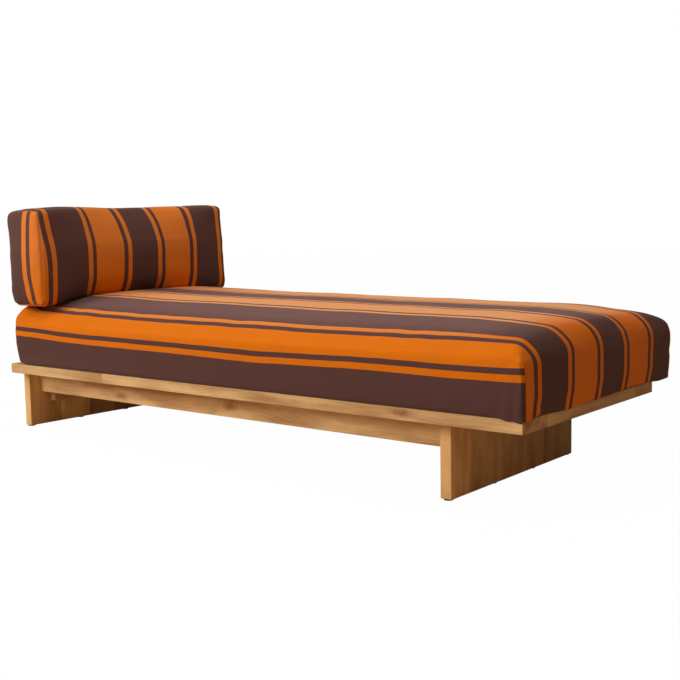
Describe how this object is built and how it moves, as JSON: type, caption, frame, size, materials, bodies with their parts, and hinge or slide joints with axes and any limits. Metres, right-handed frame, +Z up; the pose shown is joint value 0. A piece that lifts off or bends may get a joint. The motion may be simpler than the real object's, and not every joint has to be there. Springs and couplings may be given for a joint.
{
  "type": "daybed",
  "caption": "Low daybed: slatted wooden platform on two plank legs with long beams, a crowned striped mattress and a loose striped bolster at the head end, both covers zipped.",
  "frame": {"origin": "middle of the outline's box, on the floor under the glides", "axes": "+X along the length towards the foot end, +Y towards the rear long side, +Z up"},
  "size_m": [2.002, 0.8668, 0.7654],
  "materials": {
    "oak": "clear matt oil",
    "slat_wood": "sanded, untreated",
    "dowel_wood": "sanded, untreated",
    "screw_steel": "zinc plated",
    "glide_plastic": "moulded, matt",
    "cover_fabric": "woven canvas with brown and orange stripes",
    "lining_fabric": "plain non-slip cloth",
    "foam": "open-cell foam",
    "zip_tape": "woven tape",
    "zip_coil": "nylon coil",
    "zip_metal": "darkened metal"
  },
  "bodies": {
    "frame": {"front_rail": "oak", "rear_rail": "oak", "head_rail": "oak", "foot_rail": "oak", "head_leg": "oak", "foot_leg": "oak", "front_beam": "oak", "rear_beam": "oak", "head_crossbar": "oak", "foot_crossbar": "oak", "front_ledger": "slat_wood", "rear_ledger": "slat_wood", "slat_01": "slat_wood", "slat_02": "slat_wood", "slat_03": "slat_wood", "slat_04": "slat_wood", "slat_05": "slat_wood", "slat_06": "slat_wood", "slat_07": "slat_wood", "slat_08": "slat_wood", "slat_09": "slat_wood", "slat_10": "slat_wood", "slat_11": "slat_wood", "slat_12": "slat_wood", "slat_13": "slat_wood", "slat_14": "slat_wood", "rail_dowels": "dowel_wood", "leg_dowels": "dowel_wood", "beam_dowels": "dowel_wood", "ledger_screws": "screw_steel", "slat_screws": "screw_steel", "beam_screws": "screw_steel", "crossbar_screws": "screw_steel", "head_leg_glides": "glide_plastic", "foot_leg_glides": "glide_plastic"},
    "mattress": {"mattress_cover": "cover_fabric", "mattress_bottom_panel": "lining_fabric", "mattress_core": "foam", "mattress_zip_tape": "zip_tape", "mattress_zip_coil": "zip_coil"},
    "mattress_slider": {"mattress_zip_slider": "zip_metal"},
    "mattress_pull": {"mattress_zip_pull": "zip_metal"},
    "bolster": {"bolster_cover": "cover_fabric", "bolster_front_end_panel": "cover_fabric", "bolster_rear_end_panel": "cover_fabric", "bolster_core": "foam", "bolster_zip_tape": "zip_tape", "bolster_zip_coil": "zip_coil"},
    "bolster_slider": {"bolster_zip_slider": "zip_metal"},
    "bolster_pull": {"bolster_zip_pull": "zip_metal"}
  },
  "joints": [
    {"name": "mattress_lift", "type": "slide", "parent": "frame", "child": "mattress", "axis": [0, 0, 1], "range_m": [0, 0.3]},
    {"name": "bolster_lift", "type": "slide", "parent": "mattress", "child": "bolster", "axis": [0, 0, 1], "range_m": [0, 0.3]},
    {"name": "mattress_zip_slide", "type": "slide", "parent": "mattress", "child": "mattress_slider", "axis": [1, 0, 0], "range_m": [0, 1.678]},
    {"name": "mattress_pull_hinge", "type": "hinge", "parent": "mattress_slider", "child": "mattress_pull", "pos_m": [-0.8342, 0.4309, 0.268], "axis": [1, 0, 0], "range_deg": [-5, 100]},
    {"name": "bolster_zip_slide", "type": "slide", "parent": "bolster", "child": "bolster_slider", "axis": [0, 1, 0], "range_m": [0, 0.618]},
    {"name": "bolster_pull_hinge", "type": "hinge", "parent": "bolster_slider", "child": "bolster_pull", "pos_m": [-0.98128, -0.32458, 0.4964], "axis": [0, 1, 0], "range_deg": [-5, 100]}
  ]
}
